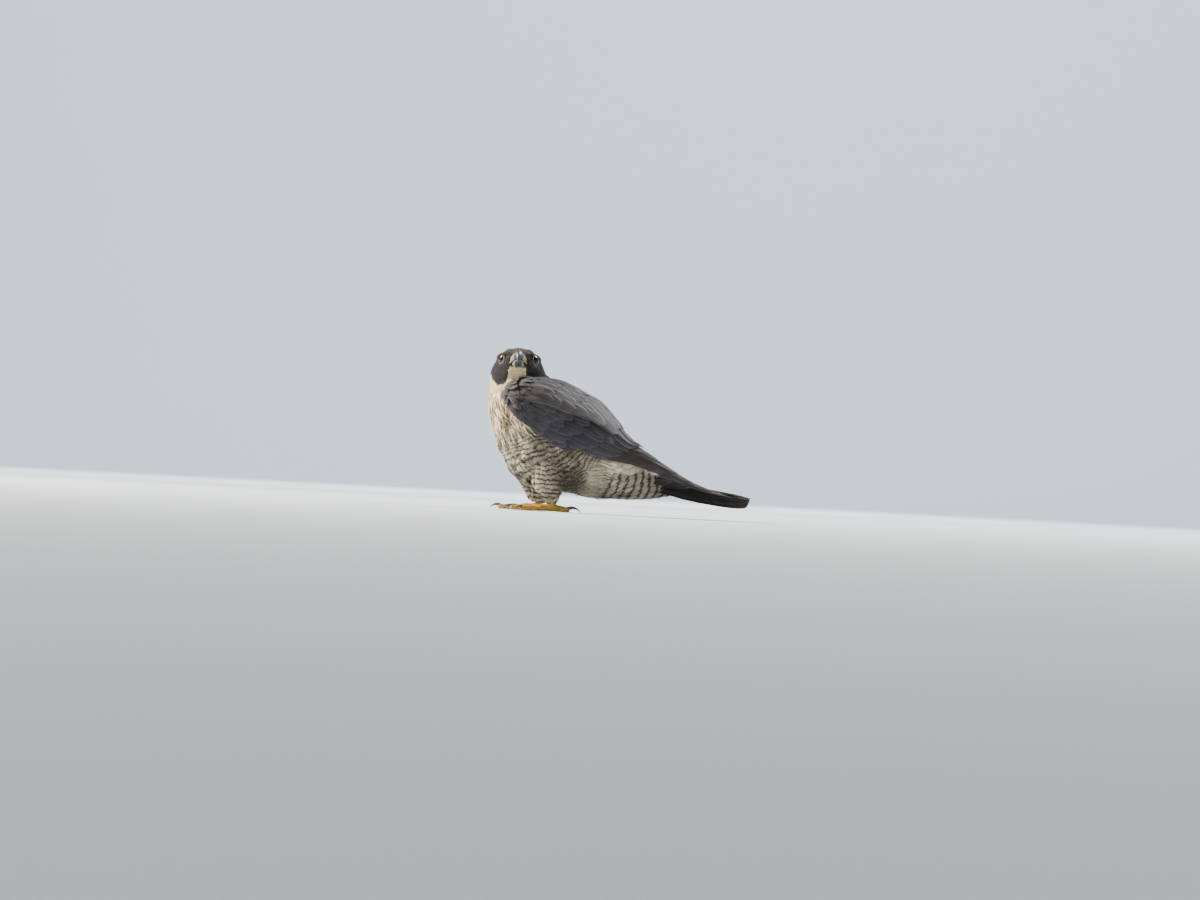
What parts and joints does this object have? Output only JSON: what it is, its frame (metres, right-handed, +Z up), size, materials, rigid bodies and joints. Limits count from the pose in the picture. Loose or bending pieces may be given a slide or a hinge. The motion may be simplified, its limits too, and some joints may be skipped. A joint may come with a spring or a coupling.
{
  "type": "peregrine falcon",
  "caption": "Life-size standing falcon with folded wings, barred breast and long tail, its head turned over the left shoulder.",
  "frame": {"origin": "on the ground under the middle of the bird's bounding box", "axes": "+X towards the tail, -X where the breast points, -Y the bird's left side, +Z up"},
  "size_m": [0.3348, 0.1218, 0.2035],
  "materials": {
    "hood_feathers": "matte",
    "breast_feathers": "matte",
    "slate_feathers": "matte",
    "bill_horn": "satin",
    "claw_horn": "satin",
    "foot_skin": "satin",
    "eye_gloss": "gloss"
  },
  "bodies": {
    "root": {"head": "hood_feathers", "neck": "breast_feathers", "torso": "breast_feathers", "thigh_left": "breast_feathers", "thigh_right": "breast_feathers", "wing_left": "slate_feathers", "wing_right": "slate_feathers", "tail": "slate_feathers", "bill_upper": "bill_horn", "bill_lower": "bill_horn", "eye_left": "eye_gloss", "eye_right": "eye_gloss", "foot_left": "foot_skin", "foot_right": "foot_skin", "claw_left_inner": "claw_horn", "claw_left_middle": "claw_horn", "claw_left_outer": "claw_horn", "claw_left_hind": "claw_horn", "claw_right_inner": "claw_horn", "claw_right_middle": "claw_horn", "claw_right_outer": "claw_horn", "claw_right_hind": "claw_horn"}
  },
  "joints": []
}
